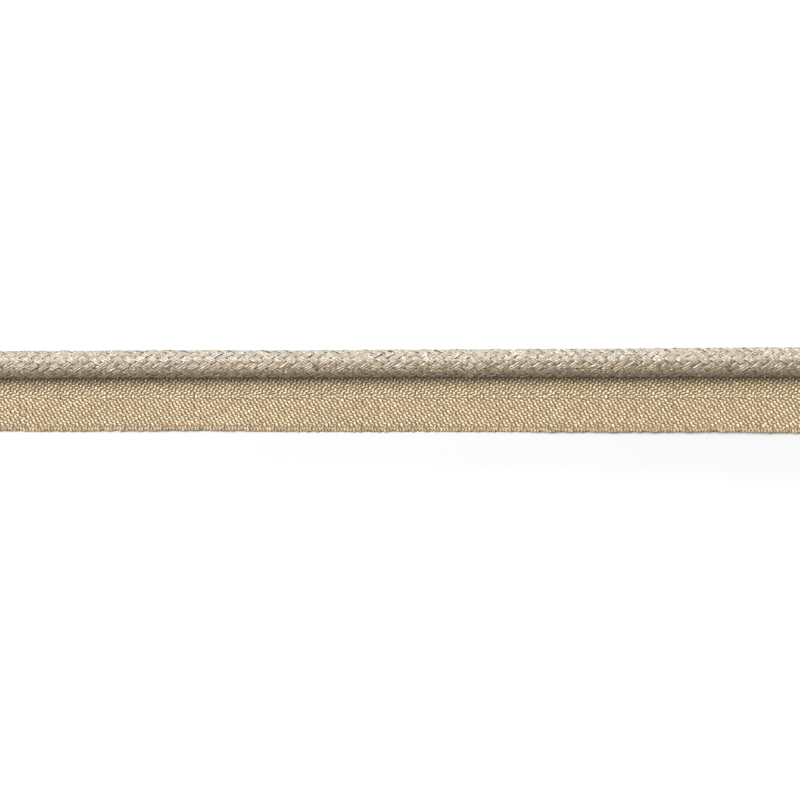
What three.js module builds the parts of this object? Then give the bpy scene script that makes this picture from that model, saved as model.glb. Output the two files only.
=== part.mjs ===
// A straight length of lip piping, in millimetres: a braided cord that is sewn along one half of a woven tape.
// X runs along the length, Y runs across it from the tape's free edge towards the cord, and Z is up from the
// surface that it lies on. The origin is on that surface, under the middle of the whole.

import * as THREE from 'three';

// Driving dimensions of the length
const LENGTH = 200;
const GAP = 0.3;

// The tape: a herringbone, whose twill turns back on its centre line, with a selvedge at each edge
const TAPE_THICKNESS = 1;
const TAPE_STEPS = 40;
const TURN_RIDGE_HEIGHT = 0.08;
const TURN_RIDGE_HALF_WIDTH = 0.35;
const LIFT_REACH = 5;
const EDGE_WAVER = 0.06;
const SLOW_WAVER = { share: 1, length: 57, start: 0 };
const QUICK_WAVER = { share: 0.6, length: 23, start: 1 };

// The cord: a tubular braid of diagonal strands, each over two and under two
const BRAID_ROWS = 12;
const BRAID_REPEATS = 76;
const FIRST_ROW_DEGREES = 46;
const CORD_TURN_DEGREES = 10;
const FLOAT_END_DEPTH = 0.12;
const BETWEEN_FLOATS_DEPTH = 0.32;

// Places along the length. The tape's centre line is y = 0 here, and edgeLift is how far its free edge stands
// clear of the surface.
const SECTIONS = [
  { x: -100, cordRadius: 3.16, cordY: 7.31, tapeHalf: 8.03, edgeLift: 0.0 },
  { x: -75, cordRadius: 3.17, cordY: 7.45, tapeHalf: 7.93, edgeLift: 0.15 },
  { x: -50, cordRadius: 3.18, cordY: 7.57, tapeHalf: 7.91, edgeLift: 0.25 },
  { x: -25, cordRadius: 3.15, cordY: 7.55, tapeHalf: 8.02, edgeLift: 0.1 },
  { x: 0, cordRadius: 3.19, cordY: 7.66, tapeHalf: 8.07, edgeLift: 0.0 },
  { x: 25, cordRadius: 3.2, cordY: 7.74, tapeHalf: 8.12, edgeLift: 0.2 },
  { x: 50, cordRadius: 3.27, cordY: 7.81, tapeHalf: 8.19, edgeLift: 0.45 },
  { x: 75, cordRadius: 3.36, cordY: 7.92, tapeHalf: 8.22, edgeLift: 0.7 },
  { x: 100, cordRadius: 3.4, cordY: 8.02, tapeHalf: 8.37, edgeLift: 0.5 },
];

// Half of the tape's section: a rounded selvedge, the shallow groove inside it, and the flat of the twill
const TAPE_EDGE = [
  { inset: 0, top: 0.6, under: 0.4 },
  { inset: 0.25, top: 0.9, under: 0.12 },
  { inset: 0.7, top: 1, under: 0 },
  { inset: 1.5, top: 0.98, under: 0 },
  { inset: 1.75, top: 0.88, under: 0 },
  { inset: 2, top: 1, under: 0 },
  { inset: 3.5, top: 1, under: 0 },
  { inset: 5, top: 1, under: 0 },
];

// The section's sizes at any place along the length, between the rows of the table
function sectionAt(x) {
  const next = SECTIONS.findIndex((row) => row.x >= x);
  const after = SECTIONS[Math.max(next, 1)];
  const before = SECTIONS[Math.max(next, 1) - 1];
  const share = (x - before.x) / (after.x - before.x);
  const between = (column) => THREE.MathUtils.lerp(before[column], after[column], share);
  return {
    cordRadius: between('cordRadius'),
    cordY: between('cordY'),
    tapeHalf: between('tapeHalf'),
    edgeLift: between('edgeLift'),
  };
}

// A closed solid through rings of points, each with as many points as the last, and each running round the
// length's direction from +Y towards +Z. slantsBack(ring, point) says which way a quad is cut in two.
function loft(rings, capTriangles, slantsBack) {
  const count = rings[0].length;
  const indices = [];
  for (let ring = 0; ring < rings.length - 1; ring += 1) {
    for (let point = 0; point < count; point += 1) {
      const a = ring * count + point;
      const b = ring * count + ((point + 1) % count);
      const c = a + count;
      const d = b + count;
      if (slantsBack(ring, point)) {
        indices.push(a, b, c, b, d, c);
      } else {
        indices.push(a, b, d, a, d, c);
      }
    }
  }
  const last = (rings.length - 1) * count;
  for (const [a, b, c] of capTriangles) {
    indices.push(c, b, a);
    indices.push(last + a, last + b, last + c);
  }
  const geometry = new THREE.BufferGeometry().setFromPoints(rings.flat());
  geometry.setIndex(indices);
  geometry.computeVertexNormals();
  return geometry;
}

// The triangles that close a ring, from its outline seen along the length
function capOf(ring) {
  const outline = ring.map((point) => new THREE.Vector2(point.y, point.z));
  return THREE.ShapeUtils.triangulateShape(outline, []);
}

// The free edge is a little uneven, as a woven edge is
function waverAt(x) {
  const wave = ({ share, length, start }) => share * Math.sin((2 * Math.PI * x) / length + start);
  return EDGE_WAVER * (wave(SLOW_WAVER) + wave(QUICK_WAVER));
}

// One cross section of the tape
function tapeRing(x) {
  const { tapeHalf, edgeLift } = sectionAt(x);
  const outer = TAPE_EDGE.map(({ inset, top, under }) => {
    const edgeShare = 1 - inset / LIFT_REACH;
    const lift = edgeLift * edgeShare ** 2;
    const y = -tapeHalf + inset + waverAt(x) * edgeShare;
    return { y, top: top + lift, under: under + lift };
  });
  const ridge = [
    { y: -TURN_RIDGE_HALF_WIDTH, top: TAPE_THICKNESS, under: 0 },
    { y: 0, top: TAPE_THICKNESS + TURN_RIDGE_HEIGHT, under: 0 },
    { y: TURN_RIDGE_HALF_WIDTH, top: TAPE_THICKNESS, under: 0 },
  ];
  const inner = TAPE_EDGE.map(({ inset, top, under }) => ({ y: tapeHalf - inset, top, under }));
  const columns = [...outer, ...ridge, ...inner.reverse()];
  const under = columns.map((column) => new THREE.Vector3(x, column.y, column.under));
  const top = columns.map((column) => new THREE.Vector3(x, column.y, column.top));
  return [...top.reverse(), ...under];
}

function makeTape() {
  const rings = [];
  for (let step = 0; step <= TAPE_STEPS; step += 1) {
    rings.push(tapeRing(LENGTH * (step / TAPE_STEPS - 0.5)));
  }
  return loft(rings, capOf(rings[0]), () => false);
}

// One cross section of the cord. Rows of floats run along it. Along each row the floats' middles stand highest,
// and the rows take turns: where one row has a middle, the next has the dip between two floats.
function cordRing(x, step) {
  const { cordRadius, cordY } = sectionAt(x);
  const cordZ = TAPE_THICKNESS + GAP + cordRadius;
  const turn = THREE.MathUtils.degToRad(FIRST_ROW_DEGREES + CORD_TURN_DEGREES * (x / LENGTH));
  const ring = [];
  for (let column = 0; column < 2 * BRAID_ROWS; column += 1) {
    const angle = turn + (Math.PI * column) / BRAID_ROWS;
    const onRow = column % 2 === 0;
    const onMiddle = (column / 2 + step) % 2 === 0;
    const dip = onMiddle ? 0 : BETWEEN_FLOATS_DEPTH;
    const radius = cordRadius - (onRow ? dip : FLOAT_END_DEPTH);
    ring.push(new THREE.Vector3(x, cordY + radius * Math.cos(angle), cordZ + radius * Math.sin(angle)));
  }
  return ring;
}

function makeCord() {
  const steps = 2 * BRAID_REPEATS;
  const rings = [];
  for (let step = 0; step <= steps; step += 1) {
    rings.push(cordRing(LENGTH * (step / steps - 0.5), step));
  }
  const rowLeansBack = (ring, column) => Math.ceil(column / 2) % 2 === 0;
  return loft(rings, capOf(rings[0]), rowLeansBack);
}

const piping = new THREE.Group();

const tapeMaterial = new THREE.MeshStandardMaterial({ color: 0xbdaa8b, roughness: 0.75, metalness: 0 });
const tape = new THREE.Mesh(makeTape(), tapeMaterial);
tape.name = 'tape';
piping.add(tape);

const cordMaterial = new THREE.MeshStandardMaterial({ color: 0xb2a692, roughness: 0.6, metalness: 0 });
const cord = new THREE.Mesh(makeCord(), cordMaterial);
cord.name = 'cord';
piping.add(cord);

// The origin is set under the middle of the whole
const box = new THREE.Box3().setFromObject(piping);
const middle = box.getCenter(new THREE.Vector3());
piping.position.set(-middle.x, -middle.y, -box.min.z);

export default piping;
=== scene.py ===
# A straight length of lip piping, lying flat: a round braided cord, sewn along half of a herringbone tape.
# Sizes are in millimetres and turn into metres where a mesh is made. X runs along the length, Y across it
# towards the cord, and Z up from the surface.

import bpy
import numpy as np
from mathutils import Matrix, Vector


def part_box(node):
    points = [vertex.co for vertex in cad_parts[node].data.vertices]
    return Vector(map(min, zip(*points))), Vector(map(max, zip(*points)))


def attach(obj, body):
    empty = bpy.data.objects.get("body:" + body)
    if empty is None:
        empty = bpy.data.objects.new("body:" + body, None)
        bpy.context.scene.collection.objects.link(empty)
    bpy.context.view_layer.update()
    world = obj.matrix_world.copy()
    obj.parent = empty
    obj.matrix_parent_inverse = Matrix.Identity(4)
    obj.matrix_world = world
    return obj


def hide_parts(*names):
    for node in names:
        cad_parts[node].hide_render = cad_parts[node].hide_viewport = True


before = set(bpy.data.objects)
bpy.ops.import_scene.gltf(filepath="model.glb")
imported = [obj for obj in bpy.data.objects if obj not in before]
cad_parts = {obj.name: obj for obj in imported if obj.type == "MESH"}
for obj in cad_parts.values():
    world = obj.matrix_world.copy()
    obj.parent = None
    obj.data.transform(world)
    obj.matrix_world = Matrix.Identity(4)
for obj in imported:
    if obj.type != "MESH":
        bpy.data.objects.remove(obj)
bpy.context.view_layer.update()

MM = 0.001
LENGTH = 200.0
GAP = 0.3
TAPE_THICKNESS = 1.0

# Places along the length, as in the part's source. The tape's centre line is y = 0 in this table.
SECTIONS = [
    dict(x=-100, cord_radius=3.16, cord_y=7.31, tape_half=8.03, edge_lift=0.0),
    dict(x=-75, cord_radius=3.17, cord_y=7.45, tape_half=7.93, edge_lift=0.15),
    dict(x=-50, cord_radius=3.18, cord_y=7.57, tape_half=7.91, edge_lift=0.25),
    dict(x=-25, cord_radius=3.15, cord_y=7.55, tape_half=8.02, edge_lift=0.1),
    dict(x=0, cord_radius=3.19, cord_y=7.66, tape_half=8.07, edge_lift=0.0),
    dict(x=25, cord_radius=3.2, cord_y=7.74, tape_half=8.12, edge_lift=0.2),
    dict(x=50, cord_radius=3.27, cord_y=7.81, tape_half=8.19, edge_lift=0.45),
    dict(x=75, cord_radius=3.36, cord_y=7.92, tape_half=8.22, edge_lift=0.7),
    dict(x=100, cord_radius=3.4, cord_y=8.02, tape_half=8.37, edge_lift=0.5),
]
WIDEST_HALF = max(row["tape_half"] for row in SECTIONS)
CENTRE_LINE_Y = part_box("tape")[1][1] / MM - WIDEST_HALF

# The free edge's unevenness
LIFT_REACH = 5.0
EDGE_WAVER = 0.06
SLOW_WAVER = dict(share=1.0, length=57.0, start=0.0)
QUICK_WAVER = dict(share=0.6, length=23.0, start=1.0)

# The tape's weave: warp ends run along the length and weft picks across it, over two and under two
ENDS = 31
PICKS = 278
PICK_PITCH = LENGTH / PICKS
WEAVE_REPEAT = 4
WEAVE_MIDDLE = 0.5
EDGE_MARGIN = 1.3
WARP_RISE = 0.3
WARP_HALF_WIDTH = 0.205
WARP_HALF_HEIGHT = 0.18
WEFT_RISE = 0.27
WEFT_HALF_WIDTH = 0.31
WEFT_HALF_HEIGHT = 0.18

# The arch of a float: its height, by how many yarns it crosses, and how peaked it is
FLOAT_HEIGHTS = {1: 1.0, 2: 1.0, 3: 0.86}
CREST_SHARPNESS = 1.2

# How far on the arch is moved, in crossings, and how far it leans sideways on each side of the twill's turn
WARP_CREST = 0.1
WEFT_CREST = 0.28
WARP_LEAN = dict(outer=0.3, inner=0.17)
WEFT_LEAN = dict(outer=0.23, inner=0.05)

# A weft float that crosses the twill's turn is broader, within a reach in ends and above a level
LONG_FLOAT_SPREAD = 0.15
LONG_FLOAT_REACH = 1.2
LONG_FLOAT_LEVEL = 0.5

# The level from which a float stands out of the work; below it the yarn's colour gets painted shade. It is
# lower near the twill's turn, which leaves less painted shade there: how much, until how many ends from it,
# and over how many ends that fades.
WARP_CROWN_START = 0.5
WEFT_CROWN_START = 0.45
TWILL_TURN_SHADE_CUT = 0.18
TWILL_TURN_END = 3.3
TWILL_TURN_FADE = 2.2

# Where a pick turns back round the outer warp end: how far on, in picks, and how much of the turn's reach
TURN_REACH = 0.7
TURN_HALF_WIDTH = 0.2
# TURN_LEVEL sets how much painted shade the turns and the picks' ends get in their colour.
TURN_LEVEL = 0.68
TURN_POINTS = [
    dict(along=0.12, reach=0.8),
    dict(along=0.5, reach=1.0),
    dict(along=0.88, reach=0.8),
]

# The sheet in the middle of the weave, dark with painted shade
GROUND_BEYOND = 0.06
GROUND_SHORT_BY = 0.2
GROUND_HALF_THICKNESS = 0.1
GROUND_STEPS_ALONG = 100
GROUND_STEPS_ACROSS = 16

# Painted shade in the crease where cord and tape meet: how far it reaches on the tape, how much darker the
# tape's colour is there, from what share of its radius the cord is sheltered, and how much darker the cord's
# colour is there
CREASE_REACH = 0.8
CREASE_SHADE = 0.6
CORD_CREASE_START = 0.85
CORD_CREASE_SHADE = 0.45

# The chain along each edge of the tape: one loop for each pick
CHAIN_INSET = 0.5
CHAIN_STEPS = 12
CHAIN_SLANT = 0.2
CHAIN_BACK = 0.12
CHAIN_HALF_WIDTH = 0.36
CHAIN_RISE = 0.17
CHAIN_DROP = 0.13
CHAIN_YARN = 0.17
# The chain's crown, least and added at most, sets the painted shade on its loops.
CHAIN_CROWN_LEAST = 0.05
CHAIN_CROWN_MORE = 0.5

# The cord's braid: twelve strands wind each way, and each goes over two and under two
BRAID_ROWS = 12
BRAID_REPEATS = 76
BRAID_PITCH = LENGTH / BRAID_REPEATS
FIRST_ROW_DEGREES = 46
CORD_TURN_DEGREES = 10
STRAND_HALF_WIDTH = 0.74
STRAND_HALF_HEIGHT = 0.28
STRAND_RISE = 0.27
STEPS_PER_REPEAT = 6
STRAND_SHORT_BY = 0.35
STRAND_SWELL = 0.05
# STRAND_CROWN_LEAST is the crown where a strand passes under the others, which sets its painted shade there.
STRAND_CROWN_LEAST = 0.7
FLOAT_SQUARENESS = 2.0
CORD_SAG = 0.3

# The outline of one strand, over its half width and half height: three yarns side by side
STRAND_OUTLINE = [
    (1.0, 0.3), (0.66, 0.9), (0.34, 0.72), (0.0, 1.0), (-0.34, 0.72), (-0.66, 0.9), (-1.0, 0.3),
    (-0.6, -0.85), (0.0, -0.95), (0.6, -0.85),
]
# How far each outline point stands out: the grooves between the yarns and the underside get painted shade.
STRAND_CROWNS = np.array([0.4, 1, 0.05, 1, 0.05, 1, 0.4, 0, 0, 0])
STRAND_UNEVEN = 0.045
STRAND_UNEVEN_RANGE = (-0.1, 0.06)

# The filling yarns: rings of them, with each ring's radius in yarn radii and its turn in yarns
CORE_YARN_RADIUS = 0.42
CORE_RADIUS_SPREAD = 0.05
CORE_SHORT_BY = (0.1, 0.5)
CORE_STEPS = 24
CORE_RINGS = [
    dict(yarns=1, radius=0.0, turn=0.0),
    dict(yarns=6, radius=2.0, turn=0.0),
    dict(yarns=12, radius=3.9, turn=0.5),
]

# What is uneven and changes slowly: how many steps apart its changes are, and their usual size
UNEVEN = dict(
    warp_wander=dict(spacing=5, size=0.035),
    warp_drift=dict(spacing=60, size=0.03),
    warp_rise=dict(spacing=3, size=0.2),
    warp_width=dict(spacing=4, size=0.1),
    warp_height=dict(spacing=12, size=0.04),
    weft_wander=dict(spacing=8, size=0.04),
    weft_rise=dict(spacing=3, size=0.2),
    weft_width=dict(spacing=4, size=0.1),
    weft_height=dict(spacing=30, size=0.04),
    chain_wander=dict(spacing=9, size=0.06),
    chain_reach=dict(spacing=12, size=0.07),
    chain_crown=dict(spacing=12, size=0.1),
    strand_angle=dict(spacing=14, size=0.016),
    strand_depth=dict(spacing=8, size=0.025),
    strand_roll=dict(spacing=4, size=0.16),
    strand_width=dict(spacing=7, size=0.06),
    strand_height=dict(spacing=12, size=0.05),
)
PICK_SPREAD = 0.04
STITCH_SPREAD = 0.05

# Each kind of piece has its own random numbers, and each yarn starts somewhere else in its colours
SEEDS = dict(warp=11, weft=31, chain=91, strands=57, core=5, thread=77)
COLOUR_START_RANGE = (0, 900)

# The outlines of round yarns
SIX_SIDED = [(np.cos(a), np.sin(a)) for a in np.arange(6) * np.pi / 3]
EIGHT_SIDED = [(np.cos(a), np.sin(a)) for a in np.arange(8) * np.pi / 4]
UP = (0, 0, 1)


def at(x, column):
    """A column of the table at any place along the length."""
    places = [row["x"] for row in SECTIONS]
    return np.interp(x, places, [row[column] for row in SECTIONS])


def waver(x):
    """How far the free edge wanders from its line."""
    waves = [
        w["share"] * np.sin(2 * np.pi * x / w["length"] + w["start"])
        for w in (SLOW_WAVER, QUICK_WAVER)
    ]
    return EDGE_WAVER * sum(waves)


def tape_point(x, across):
    """Where the tape's middle layer is: across is 0 at the free edge and 1 at the edge under the cord."""
    half = at(x, "tape_half")
    inset = EDGE_MARGIN + across * 2 * (half - EDGE_MARGIN)
    edge_share = np.clip(1 - inset / LIFT_REACH, 0, 1)
    y = CENTRE_LINE_Y - half + inset + waver(x) * edge_share
    z = WEAVE_MIDDLE + at(x, "edge_lift") * edge_share**2
    return np.stack([x, y, z], axis=-1)


def past_edge(x, edge, reach):
    """How far across the tape a point is that lies reach beyond the outer warp ends: edge is 0 or 1."""
    return edge + (1 if edge else -1) * reach / (2 * (at(x, "tape_half") - EDGE_MARGIN))


def uneven(rng, count, kind):
    """Random numbers that change slowly: a new one at each spacing, with a smooth way between them."""
    spacing = UNEVEN[kind]["spacing"]
    size = UNEVEN[kind]["size"]
    knots = rng.normal(0, 1, int(count / spacing) + 3)
    place = np.arange(count) / spacing
    low = place.astype(int)
    share = place - low
    share = share * share * (3 - 2 * share)
    return size * (knots[low] * (1 - share) + knots[low + 1] * share)


class Yarns:
    """Collects closed tubes, and makes one mesh of them."""

    def __init__(self):
        self.points = []
        self.faces = []
        self.maps = []
        self.crowns = []
        self.count = 0

    def add(self, path, up, outline, half_width, half_height, start=0.0, crown=1.0, raised=0.0):
        """A tube with the given outline along a path. up says which way the outline's second axis faces.
        crown, from 0 to 1, is how far each point stands out of the work, and sets its painted shade. raised
        is added to its height."""
        outline = np.array(outline)
        steps, sides = len(path), len(outline)
        self.crowns.append(np.broadcast_to(crown, (steps, sides)).ravel())
        tangent = np.gradient(path, axis=0)
        tangent /= np.linalg.norm(tangent, axis=1, keepdims=True)
        side = np.cross(np.broadcast_to(up, path.shape), tangent)
        side /= np.linalg.norm(side, axis=1, keepdims=True)
        rise = np.cross(tangent, side)
        wide = np.broadcast_to(half_width, steps)[:, None, None] * outline[None, :, :1]
        high = np.broadcast_to(half_height, steps)[:, None, None] * outline[None, :, 1:]
        high = high + np.broadcast_to(raised, (steps, sides))[:, :, None]
        rings = path[:, None] + side[:, None] * wide + rise[:, None] * high
        self.points.append(rings.reshape(-1, 3))

        number = self.count + np.arange(steps * sides).reshape(steps, sides)
        after = np.roll(number, -1, axis=1)
        quads = np.stack([number[:-1], after[:-1], after[1:], number[1:]], axis=-1)
        self.faces += quads.reshape(-1, 4).tolist()
        self.faces.append(number[0, ::-1].tolist())
        self.faces.append(number[-1].tolist())
        self.count += steps * sides

        lengths = np.linalg.norm(np.diff(path, axis=0), axis=1)
        along = start + np.concatenate([[0], np.cumsum(lengths)])
        around = np.arange(sides + 1) / sides
        near, far = np.meshgrid(along[:-1], around[:-1], indexing="ij")
        near_next, far_next = np.meshgrid(along[1:], around[1:], indexing="ij")
        corners = [(near, far), (near, far_next), (near_next, far_next), (near_next, far)]
        quad_maps = np.stack([np.stack(corner, axis=-1) for corner in corners], axis=-2)
        self.maps.append(quad_maps.reshape(-1, 2))
        self.maps.append(np.stack([np.full(sides, along[0]), around[:-1]], axis=-1))
        self.maps.append(np.stack([np.full(sides, along[-1]), around[:-1]], axis=-1))

    def finish(self, name, material, smooth=True):
        """The piece, with a map along and round its yarns, and with how far each point stands out, which
        sets the painted shade in its material's colour.
        """
        piece = new_piece(name, np.concatenate(self.points), self.faces, material, smooth)
        layer = piece.data.uv_layers.new(name="yarn")
        layer.uv.foreach_set("vector", np.concatenate(self.maps).astype(np.float32).ravel())
        crown = piece.data.attributes.new("crown", "FLOAT", "POINT")
        crown.data.foreach_set("value", np.concatenate(self.crowns).astype(np.float32))
        return piece


def new_piece(name, points, faces, material, smooth=True):
    """A mesh from points in millimetres, which rides on the part's one body."""
    mesh = bpy.data.meshes.new(name)
    mesh.from_pydata((points * MM).tolist(), [], faces)
    if smooth:
        mesh.shade_smooth()
    mesh.materials.append(material)
    piece = bpy.data.objects.new(name, mesh)
    bpy.context.collection.objects.link(piece)
    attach(piece, "root")
    return piece


# Camera: straight above, as the photo has it
VIEW_WIDTH = 184.8
VIEW_CENTRE_Y = -0.75
LENS = 135.0
SENSOR = 36.0


def make_camera():
    """As far up as makes the view VIEW_WIDTH wide at the tape's upper side."""
    data = bpy.data.cameras.new("camera")
    data.lens = LENS
    data.sensor_width = SENSOR
    camera = bpy.data.objects.new("camera", data)
    height = VIEW_WIDTH * LENS / SENSOR + TAPE_THICKNESS
    camera.location = (0, (CENTRE_LINE_Y + VIEW_CENTRE_Y) * MM, height * MM)
    bpy.context.collection.objects.link(camera)
    bpy.context.scene.camera = camera


# Materials: the noises that make filaments, slow patches and fine grain. Each has its scale, and the values
# between which it turns from dark to light, or from rough to smooth.
PIT_ROUGHNESS = 0.7
SHEEN_ROUGHNESS = 0.4
FILAMENTS = dict(along=0.9, detail=2, dark_at=0.32, light_at=0.68, rough_at=0.3, smooth_at=0.6)
PATCHES = dict(along=0.55, around=0.6, detail=2, dark_at=0.3, light_at=0.7, least=0.45)
GRAIN = dict(scale=2400, detail=1, dark_at=0.4, light_at=0.6)
GROUND_GRAIN = dict(scale=1500, darkest=0.7, roughness=0.9)


def yarn_material(name, light, dark, pit_shade, roughness, ior, streaks, bump, sheen, grainy):
    """Spun or multifilament yarn: filaments along it, slow changes of colour, and painted shade between its
    crowns."""
    material = bpy.data.materials.new(name)
    material.use_nodes = True
    nodes = material.node_tree.nodes
    links = material.node_tree.links
    shader = nodes["Principled BSDF"]
    shader.inputs["IOR"].default_value = ior
    shader.inputs["Sheen Weight"].default_value = sheen
    shader.inputs["Sheen Roughness"].default_value = SHEEN_ROUGHNESS

    place = nodes.new("ShaderNodeUVMap")
    place.uv_map = "yarn"

    def noise(scale_along, scale_around, detail):
        mapping = nodes.new("ShaderNodeMapping")
        mapping.inputs["Scale"].default_value = (scale_along, scale_around, 1)
        links.new(place.outputs["UV"], mapping.inputs["Vector"])
        texture = nodes.new("ShaderNodeTexNoise")
        texture.inputs["Scale"].default_value = 1
        texture.inputs["Detail"].default_value = detail
        links.new(mapping.outputs["Vector"], texture.inputs["Vector"])
        return texture.outputs["Fac"]

    def mix(factor, below, above):
        node = nodes.new("ShaderNodeMix")
        node.data_type = "RGBA"
        for socket, value in (("Factor", factor), ("A", below), ("B", above)):
            target = next(i for i in node.inputs if i.name == socket and i.enabled)
            if isinstance(value, tuple):
                target.default_value = (*value, 1)
            elif isinstance(value, float):
                target.default_value = value
            else:
                links.new(value, target)
        return next(o for o in node.outputs if o.enabled)

    def spread(value, low, high, least=0.0, most=1.0):
        node = nodes.new("ShaderNodeMapRange")
        node.inputs["From Min"].default_value = low
        node.inputs["From Max"].default_value = high
        node.inputs["To Min"].default_value = least
        node.inputs["To Max"].default_value = most
        links.new(value, node.inputs["Value"])
        return node.outputs["Result"]

    def product(first, second):
        node = nodes.new("ShaderNodeMath")
        node.operation = "MULTIPLY"
        links.new(first, node.inputs[0])
        links.new(second, node.inputs[1])
        return node.outputs["Value"]

    filaments = noise(FILAMENTS["along"], streaks, FILAMENTS["detail"])
    patches = noise(PATCHES["along"], PATCHES["around"], PATCHES["detail"])
    tone = mix(spread(filaments, FILAMENTS["dark_at"], FILAMENTS["light_at"]), dark, light)
    crown = nodes.new("ShaderNodeAttribute")
    crown.attribute_name = "crown"
    shade = spread(patches, PATCHES["dark_at"], PATCHES["light_at"], least=PATCHES["least"])
    lit = product(crown.outputs["Fac"], shade)
    grain = nodes.new("ShaderNodeTexNoise")
    grain.inputs["Scale"].default_value = GRAIN["scale"]
    grain.inputs["Detail"].default_value = GRAIN["detail"]
    links.new(nodes.new("ShaderNodeTexCoord").outputs["Object"], grain.inputs["Vector"])
    grain_share = spread(grain.outputs["Fac"], GRAIN["dark_at"], GRAIN["light_at"])
    tone = mix(grain_share, mix(1 - grainy, pit_shade, tone), tone)
    # Painted shade: the colour turns to the pit's dark shade colour where the crown attribute is low, on a
    # yarn's flanks, in grooves and where it dips under another.
    links.new(mix(lit, pit_shade, tone), shader.inputs["Base Color"])
    shine = product(lit, spread(filaments, FILAMENTS["rough_at"], FILAMENTS["smooth_at"]))
    links.new(spread(shine, 0.0, 1.0, PIT_ROUGHNESS, roughness), shader.inputs["Roughness"])

    relief = nodes.new("ShaderNodeBump")
    relief.inputs["Strength"].default_value = 1
    relief.inputs["Distance"].default_value = bump * MM
    links.new(filaments, relief.inputs["Height"])
    links.new(relief.outputs["Normal"], shader.inputs["Normal"])
    return material


def shade_sheet_material(name, colour):
    """The middle of the weave, dark with painted shade, which shows only in its pits."""
    material = bpy.data.materials.new(name)
    material.use_nodes = True
    nodes = material.node_tree.nodes
    links = material.node_tree.links
    shader = nodes["Principled BSDF"]
    shader.inputs["Roughness"].default_value = GROUND_GRAIN["roughness"]
    place = nodes.new("ShaderNodeTexCoord")
    texture = nodes.new("ShaderNodeTexNoise")
    texture.inputs["Scale"].default_value = GROUND_GRAIN["scale"]
    links.new(place.outputs["Object"], texture.inputs["Vector"])
    ramp = nodes.new("ShaderNodeValToRGB")
    ramp.color_ramp.elements[0].color = (*[c * GROUND_GRAIN["darkest"] for c in colour], 1)
    ramp.color_ramp.elements[1].color = (*colour, 1)
    links.new(texture.outputs["Fac"], ramp.inputs["Fac"])
    links.new(ramp.outputs["Color"], shader.inputs["Base Color"])
    return material


# The tape
def weave_draft():
    """Whether each warp end (row) lies over each pick (column). The twill turns back at the middle end."""
    end = np.arange(ENDS)[:, None]
    pick = np.arange(PICKS)[None, :]
    step = np.where(end < ENDS // 2, end, ENDS - 1 - end)
    return (pick - step) % WEAVE_REPEAT < WEAVE_REPEAT // 2


def float_levels(over):
    """A yarn's height, from -1 to 1, at each crossing and half way between: an arch over each float."""
    place = np.arange(2 * len(over) + 1) / 2
    changes = [0, *(np.flatnonzero(np.diff(over)) + 1), len(over)]
    levels = np.zeros(len(place))
    for start, end in zip(changes[:-1], changes[1:]):
        inside = (place > start) & (place < end)
        sharpness = CREST_SHARPNESS * (end - start) / 2
        arch = np.sin(np.pi * (place[inside] - start) / (end - start)) ** sharpness
        height = FLOAT_HEIGHTS[end - start]
        levels[inside] = (height if over[start] else -height) * arch
    return levels


def zone_of(across):
    """1 beyond the turn of the twill and -1 before it, with a short way between them."""
    return np.clip((across - 0.5) * ENDS + 0.5, -1, 1)


def lean_of(level, across, most):
    """How far a float leans sideways: one way at its start and the other way at its end."""
    zone = zone_of(across)
    return -np.where(zone > 0, most["inner"], most["outer"]) * zone * np.roll(level, -2)


def shift_crest(level, steps):
    """The same heights, moved on by a part of a crossing."""
    place = np.arange(len(level)) / 2
    return np.interp(place - steps, place, level)


def crown_of(level, start, across):
    """How far a float's points stand out of the work, from 0 to 1, from the yarn's height there; where it is
    low, the material paints shade. Near the twill's turn they stand out sooner, so there is less painted
    shade."""
    near_turn = np.clip((TWILL_TURN_END - abs(across - 0.5) * ENDS) / TWILL_TURN_FADE, 0, 1)
    start = start * (1 - TWILL_TURN_SHADE_CUT * near_turn)
    return np.clip((abs(level) - start) / (1 - start), 0, 1)[:, None]


def crease_shade(path):
    """The painted shade of the cord's shelter on the upper sides of the tape's yarns: what it leaves of
    their colour, from 1 down.
    """
    cord_side = CENTRE_LINE_Y + at(path[:, 0], "cord_y") - at(path[:, 0], "cord_radius")
    depth = np.clip(1 - (cord_side - path[:, 1]) / CREASE_REACH, 0, 1)
    faces_up = np.array(SIX_SIDED)[:, 1] > 0.5
    return 1 - CREASE_SHADE * depth[:, None] * faces_up


def make_warp(name, ends, draft, material):
    """Some of the warp ends, each at its own place across the tape."""
    rng = np.random.default_rng(SEEDS["warp"] + ends[0])
    yarns = Yarns()
    x = np.linspace(-LENGTH / 2, LENGTH / 2, 2 * PICKS + 1)
    count = len(x)
    for end in ends:
        across = (end + 0.5) / ENDS
        wander = uneven(rng, count, "warp_wander") + uneven(rng, count, "warp_drift")
        path = tape_point(x, across)
        path[:, 1] += wander
        level = float_levels(draft[end])
        path[:, 1] += lean_of(level, across, WARP_LEAN)
        level = shift_crest(level, WARP_CREST)
        path[:, 2] += WARP_RISE * (1 + uneven(rng, count, "warp_rise")) * level
        width = WARP_HALF_WIDTH * (1 + uneven(rng, count, "warp_width"))
        height = WARP_HALF_HEIGHT * (1 + uneven(rng, count, "warp_height"))
        path[:, 2] = np.maximum(path[:, 2], height)
        # Painted shade on the float's flanks, where it dips under, and in the crease by the cord.
        crown = crown_of(level, WARP_CROWN_START, across) * crease_shade(path)
        start = rng.uniform(*COLOUR_START_RANGE)
        yarns.add(path, UP, SIX_SIDED, width, height, start, crown)
    return yarns.finish(name, material)


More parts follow.
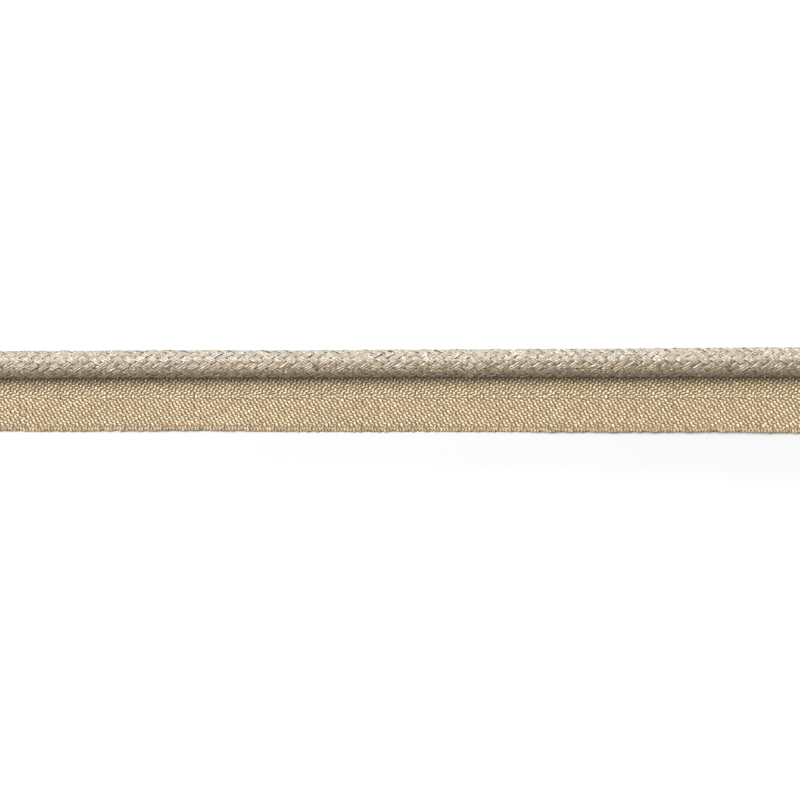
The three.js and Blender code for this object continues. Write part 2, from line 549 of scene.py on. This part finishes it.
def make_weft(name, picks, draft, material):
    """Picks that turn back round the outer warp ends, as one yarn that a shuttle carries."""
    rng = np.random.default_rng(SEEDS["weft"] + picks[0])
    across = np.linspace(0, 1, 2 * ENDS + 1)
    count = len(across)
    turn_along = PICK_PITCH * np.array([point["along"] for point in TURN_POINTS])
    turn_reach = TURN_REACH * np.array([point["reach"] for point in TURN_POINTS])
    paths = []
    crowns = []
    widths = []
    for pick in picks:
        x = np.full(count, -LENGTH / 2 + (pick + 0.5) * PICK_PITCH)
        x += rng.normal(0, PICK_SPREAD) + uneven(rng, count, "weft_wander") - WARP_CREST * PICK_PITCH
        level = float_levels(~draft[:, pick])
        x += lean_of(level, across, WEFT_LEAN)
        level = shift_crest(level, WEFT_CREST * zone_of(across))
        shown = level.copy()
        shown[[0, -1]] = TURN_LEVEL
        x = np.clip(x, -LENGTH / 2 + WEFT_HALF_WIDTH, LENGTH / 2 - WEFT_HALF_WIDTH)
        path = tape_point(x, across)
        path[:, 2] += WEFT_RISE * (1 + uneven(rng, count, "weft_rise")) * level
        back = pick % 2 == 1
        paths.append(path[::-1] if back else path)
        crown = crown_of(shown, WEFT_CROWN_START, across)
        crowns.append(crown[::-1] if back else crown)
        on_turn = abs(across - 0.5) * ENDS < LONG_FLOAT_REACH
        broad = 1 + LONG_FLOAT_SPREAD * on_turn * (level > LONG_FLOAT_LEVEL)
        widths.append(WEFT_HALF_WIDTH * broad)
        if pick != picks[-1]:
            turn_x = x[0 if back else -1] + turn_along
            paths.append(tape_point(turn_x, past_edge(turn_x, 0 if back else 1, turn_reach)))
            crowns.append(crown_of(np.full(len(turn_x), TURN_LEVEL), WEFT_CROWN_START, 0))
            widths.append(np.full(len(turn_x), TURN_HALF_WIDTH))
    path = np.concatenate(paths)
    width = np.concatenate(widths) * (1 + uneven(rng, len(path), "weft_width"))
    height = WEFT_HALF_HEIGHT * (1 + uneven(rng, len(path), "weft_height"))
    path[:, 2] = np.maximum(path[:, 2], height)
    yarns = Yarns()
    # Painted shade on the floats' flanks, where they dip under, and in the crease by the cord.
    crown = np.concatenate(crowns) * crease_shade(path)
    yarns.add(path, UP, SIX_SIDED, width, height, crown=crown)
    return yarns.finish(name, material)


def make_edge_chain(name, edge, material):
    """The knitted chain that locks the picks along one edge: edge is 0 for the free one, and 1 for the
    other."""
    rng = np.random.default_rng(SEEDS["chain"] + edge)
    steps = PICKS * CHAIN_STEPS
    count = steps + 1
    turn = 2 * np.pi * np.arange(count) / CHAIN_STEPS
    x = PICK_PITCH * turn / (2 * np.pi) - LENGTH / 2
    place = x + CHAIN_SLANT * np.cos(turn) + CHAIN_BACK * np.sin(2 * turn)
    place = place + uneven(rng, count, "chain_wander")
    place = np.clip(place, -LENGTH / 2 + CHAIN_YARN, LENGTH / 2 - CHAIN_YARN)
    reach = EDGE_MARGIN - CHAIN_INSET + CHAIN_HALF_WIDTH * np.cos(turn)
    reach = reach + uneven(rng, count, "chain_reach")
    path = tape_point(place, past_edge(x, edge, reach))
    path[:, 2] += CHAIN_RISE * np.sin(turn) - CHAIN_DROP
    yarns = Yarns()
    # Painted shade on the chain's loops, with some random change.
    crown = CHAIN_CROWN_LEAST + CHAIN_CROWN_MORE * abs(np.sin(turn)) + uneven(rng, count, "chain_crown")
    crown = np.clip(crown, 0, 1)[:, None]
    yarns.add(path, UP, SIX_SIDED, CHAIN_YARN, CHAIN_YARN, crown=crown)
    return yarns.finish(name, material)


def make_shade_sheet(material):
    """A thin closed sheet that stands in for the middle of the weave, dark with painted shade, so that its
    pits look shaded and are not open.
    """
    half_length = LENGTH / 2 - GROUND_SHORT_BY
    x = np.linspace(-half_length, half_length, GROUND_STEPS_ALONG + 1)
    across = np.linspace(-GROUND_BEYOND, 1 + GROUND_BEYOND, GROUND_STEPS_ACROSS + 1)
    grid_x, grid_across = np.meshgrid(x, across, indexing="ij")
    middle = tape_point(grid_x, grid_across)
    top = middle + [0, 0, GROUND_HALF_THICKNESS]
    under = middle - [0, 0, GROUND_HALF_THICKNESS]
    points = np.concatenate([top.reshape(-1, 3), under.reshape(-1, 3)])
    number = np.arange(len(x) * len(across)).reshape(len(x), len(across))
    below = number + number.size
    quads = [np.stack([number[:-1, :-1], number[1:, :-1], number[1:, 1:], number[:-1, 1:]], axis=-1)]
    quads.append(np.stack([below[:-1, :-1], below[:-1, 1:], below[1:, 1:], below[1:, :-1]], axis=-1))
    rim = np.concatenate([number[:, 0], number[-1, 1:], number[-2::-1, -1], number[0, -2:0:-1]])
    ahead = np.roll(rim, -1)
    quads.append(np.stack([rim, rim + number.size, ahead + number.size, ahead], axis=-1))
    faces = np.concatenate([q.reshape(-1, 4) for q in quads]).tolist()
    return new_piece("tape_shade_sheet", points, faces, material)


# The cord
def cord_point(x, angle, inward):
    """A point inward mm below the cord's outer surface. Its lower half sags on to the tape."""
    radius = at(x, "cord_radius")
    centre_z = TAPE_THICKNESS + GAP + radius
    reach = radius - inward
    y = CENTRE_LINE_Y + at(x, "cord_y") + reach * np.cos(angle)
    sag = CORD_SAG * np.clip(-np.sin(angle), 0, 1) * reach / radius
    z = centre_z + reach * np.sin(angle) - sag
    return np.stack([x, y, z], axis=-1)


def make_strands(name, way, material):
    """The twelve strands that wind one way: way is -1 for those that rise towards +Y, and 1 for the
    others."""
    rng = np.random.default_rng(SEEDS["strands"] + way)
    yarns = Yarns()
    turn_length = BRAID_ROWS * BRAID_PITCH
    first_row = FIRST_ROW_DEGREES if way < 0 else FIRST_ROW_DEGREES + 360 / BRAID_ROWS
    first_float = 0.0 if way < 0 else BRAID_PITCH / 2
    count = BRAID_REPEATS * STEPS_PER_REPEAT + 1
    for strand in range(BRAID_ROWS):
        ends = LENGTH / 2 - rng.uniform(0, STRAND_SHORT_BY, 2)
        x = np.linspace(-ends[0], ends[1], count)
        place = x - first_float - strand * BRAID_PITCH
        angle = np.radians(first_row + CORD_TURN_DEGREES * x / LENGTH)
        angle = angle + way * 2 * np.pi * place / turn_length
        angle = angle + uneven(rng, count, "strand_angle")
        wave = np.cos(np.pi * place / BRAID_PITCH)
        level = np.tanh(FLOAT_SQUARENESS * wave) / np.tanh(FLOAT_SQUARENESS)
        inward = STRAND_HALF_HEIGHT + STRAND_RISE * (1 - level)
        inward = inward + uneven(rng, count, "strand_depth")
        path = cord_point(x, angle, inward)
        up = np.stack([np.zeros(count), np.cos(angle), np.sin(angle)], axis=-1)
        sideways = np.cross(up, np.gradient(path, axis=0))
        sideways /= np.linalg.norm(sideways, axis=1, keepdims=True)
        up += uneven(rng, count, "strand_roll")[:, None] * sideways
        width = STRAND_HALF_WIDTH * (1 + STRAND_SWELL * level + uneven(rng, count, "strand_width"))
        height = STRAND_HALF_HEIGHT * (1 + uneven(rng, count, "strand_height"))
        # Painted shade on the strands' undersides in the crease, and in their grooves and where they pass
        # under.
        depth = np.clip((-np.cos(angle) - CORD_CREASE_START) / (1 - CORD_CREASE_START), 0, 1)
        stands_out = STRAND_CROWN_LEAST + (1 - STRAND_CROWN_LEAST) * level
        crown = (stands_out * (1 - CORD_CREASE_SHADE * depth))[:, None] * STRAND_CROWNS
        raised = rng.normal(0, STRAND_UNEVEN, (count, len(STRAND_OUTLINE)))
        raised = np.clip(raised, *STRAND_UNEVEN_RANGE) * (STRAND_CROWNS > 0)
        start = rng.uniform(*COLOUR_START_RANGE)
        yarns.add(path, up, STRAND_OUTLINE, width, height, start, crown, raised)
    return yarns.finish(name, material, smooth=False)


def make_core(material):
    """The filling yarns, which show only where the cord is cut."""
    rng = np.random.default_rng(SEEDS["core"])
    yarns = Yarns()
    for ring in CORE_RINGS:
        reach = ring["radius"] * CORE_YARN_RADIUS
        for yarn in range(ring["yarns"]):
            angle = 2 * np.pi * (yarn + ring["turn"]) / ring["yarns"]
            ends = LENGTH / 2 - rng.uniform(*CORE_SHORT_BY, 2)
            x = np.linspace(-ends[0], ends[1], CORE_STEPS + 1)
            path = cord_point(x, np.full(len(x), angle), at(x, "cord_radius") - reach)
            radius = CORE_YARN_RADIUS * (1 + rng.normal(0, CORE_RADIUS_SPREAD))
            start = rng.uniform(*COLOUR_START_RANGE)
            yarns.add(path, UP, EIGHT_SIDED, radius, radius, start)
    return yarns.finish("cord_core", material)


# The sewing thread
STITCH_PITCH = 3.1
THREAD_RADIUS = 0.12
THREAD_SHORT_BY = 1.0
THREAD_UP = (1, 0, 0.2)

# One stitch: how far along it is, how far beyond the tape's edge under the cord, and how high
STITCH = [
    dict(along=0.0, beyond=-2.1, height=0.5),
    dict(along=0.08, beyond=-1.95, height=0.12),
    dict(along=0.3, beyond=-0.7, height=0.12),
    dict(along=0.42, beyond=0.05, height=0.3),
    dict(along=0.47, beyond=0.22, height=0.9),
    dict(along=0.52, beyond=0.1, height=1.6),
    dict(along=0.57, beyond=0.22, height=0.9),
    dict(along=0.62, beyond=0.05, height=0.3),
    dict(along=0.74, beyond=-0.7, height=0.12),
    dict(along=0.93, beyond=-1.95, height=0.12),
]


def make_thread(material):
    """A zigzag on the underside, from the tape round its edge into the cord and back."""
    rng = np.random.default_rng(SEEDS["thread"])
    count = int((LENGTH - 2 * THREAD_SHORT_BY) / STITCH_PITCH)
    start = -count * STITCH_PITCH / 2
    points = []
    for stitch in range(count):
        shift = rng.normal(0, STITCH_SPREAD)
        for row in STITCH:
            x = start + (stitch + row["along"]) * STITCH_PITCH + shift
            y = CENTRE_LINE_Y + at(x, "tape_half") + row["beyond"]
            points.append((x, y, row["height"]))
    points = np.array(points)
    place = np.arange(len(points))
    fine = np.linspace(0, len(points) - 1, 2 * len(points) - 1)
    path = np.stack([np.interp(fine, place, points[:, k]) for k in range(3)], axis=-1)
    path[1:-1] = (path[:-2] + 2 * path[1:-1] + path[2:]) / 4
    path[:, 2] = np.maximum(path[:, 2], THREAD_RADIUS)
    yarns = Yarns()
    yarns.add(path, THREAD_UP, SIX_SIDED, THREAD_RADIUS, THREAD_RADIUS)
    return yarns.finish("sewing_thread", material)


# Floor and lights: sizes and distances here are in metres
FLOOR = dict(size=6, colour=(0.394, 0.403, 0.419), roughness=0.8)
SKY = dict(brightest=(0.0, 0.65, 0.76), least=0.13, most=0.7, colour=(1, 0.87, 0.68))
WHITE = (1, 1, 1)
COOL = (0.78, 0.9, 1)
LIGHTS = [
    dict(name="overhead", direction=(-0.6, 0.15, 0.78), distance=3.0, size=1.7, energy=183, colour=WHITE),
    dict(name="slanting", direction=(0.0, 0.42, 0.91), distance=1.2, size=0.5, energy=9, colour=WHITE),
    dict(name="side", direction=(0.05, 0.97, 0.24), distance=1.2, size=0.22, energy=22, colour=COOL),
]


def make_floor():
    """The white surface that the length lies on."""
    bpy.ops.mesh.primitive_plane_add(size=FLOOR["size"])
    floor = bpy.context.object
    floor.name = "floor"
    material = bpy.data.materials.new("floor_white")
    material.use_nodes = True
    shader = material.node_tree.nodes["Principled BSDF"]
    shader.inputs["Base Color"].default_value = (*FLOOR["colour"], 1)
    shader.inputs["Roughness"].default_value = FLOOR["roughness"]
    floor.data.materials.append(material)


def area_light(name, direction, distance, size, energy, colour):
    """A square light that stands off the origin in one direction, and faces it."""
    data = bpy.data.lights.new(name, "AREA")
    data.size = size
    data.energy = energy
    data.color = colour
    light = bpy.data.objects.new(name, data)
    direction = np.array(direction, float) / np.linalg.norm(direction)
    light.location = direction * distance
    away = light.location.copy()
    light.rotation_euler = away.to_track_quat("Z", "Y").to_euler()
    bpy.context.collection.objects.link(light)


def make_lights():
    """A sky that is brightest in one direction, and the lights of the table."""
    world = bpy.data.worlds.new("studio")
    bpy.context.scene.world = world
    world.use_nodes = True
    nodes = world.node_tree.nodes
    links = world.node_tree.links
    toward = nodes.new("ShaderNodeVectorMath")
    toward.operation = "DOT_PRODUCT"
    toward.inputs[1].default_value = SKY["brightest"]
    links.new(nodes.new("ShaderNodeTexCoord").outputs["Generated"], toward.inputs[0])
    strength = nodes.new("ShaderNodeMapRange")
    strength.inputs["To Min"].default_value = SKY["least"]
    strength.inputs["To Max"].default_value = SKY["most"]
    links.new(toward.outputs["Value"], strength.inputs["Value"])
    links.new(strength.outputs["Result"], nodes["Background"].inputs["Strength"])
    nodes["Background"].inputs["Color"].default_value = (*SKY["colour"], 1)
    for light in LIGHTS:
        area_light(**light)
    bpy.context.scene.view_settings.view_transform = "Standard"


make_camera()

cord_yarn = yarn_material(
    "cord_yarn", light=(0.5, 0.38, 0.22), dark=(0.17, 0.12, 0.062), pit_shade=(0.07, 0.045, 0.022),
    roughness=0.23, ior=2.05, streaks=8, bump=0.12, sheen=0.1, grainy=0.9,
)
core_yarn = yarn_material(
    "core_yarn", light=(0.66, 0.62, 0.54), dark=(0.5, 0.46, 0.4), pit_shade=(0.3, 0.27, 0.22),
    roughness=0.8, ior=1.5, streaks=20, bump=0.03, sheen=0.2, grainy=0.2,
)
tape_yarn = yarn_material(
    "tape_yarn", light=(0.98, 0.825, 0.55), dark=(0.7, 0.57, 0.365), pit_shade=(0.075, 0.048, 0.022),
    roughness=0.3, ior=1.6, streaks=7, bump=0.03, sheen=0.0, grainy=0.2,
)
thread_yarn = yarn_material(
    "thread_yarn", light=(0.5, 0.43, 0.32), dark=(0.4, 0.33, 0.24), pit_shade=(0.3, 0.25, 0.18),
    roughness=0.5, ior=1.5, streaks=5, bump=0.02, sheen=0.2, grainy=0.2,
)
# The sheet's dark colour in the weave is painted shade.
tape_shade = shade_sheet_material("tape_shade", (0.2, 0.13, 0.07))

draft = weave_draft()
shade_sheet = make_shade_sheet(tape_shade)
tape_pieces = [
    make_warp("tape_warp_outer", range(0, ENDS // 2), draft, tape_yarn),
    make_warp("tape_warp_inner", range(ENDS // 2, ENDS), draft, tape_yarn),
    make_weft("tape_weft_left", range(0, PICKS // 2), draft, tape_yarn),
    make_weft("tape_weft_right", range(PICKS // 2, PICKS), draft, tape_yarn),
    make_edge_chain("tape_chain_free", 0, tape_yarn),
    make_edge_chain("tape_chain_inner", 1, tape_yarn),
]
thread = make_thread(thread_yarn)
for piece in [shade_sheet, *tape_pieces]:
    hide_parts("tape")

cord_pieces = [
    make_strands("cord_strands_rising", -1, cord_yarn),
    make_strands("cord_strands_falling", 1, cord_yarn),
    make_core(core_yarn),
]
for piece in cord_pieces:
    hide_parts("cord")

make_floor()
make_lights()
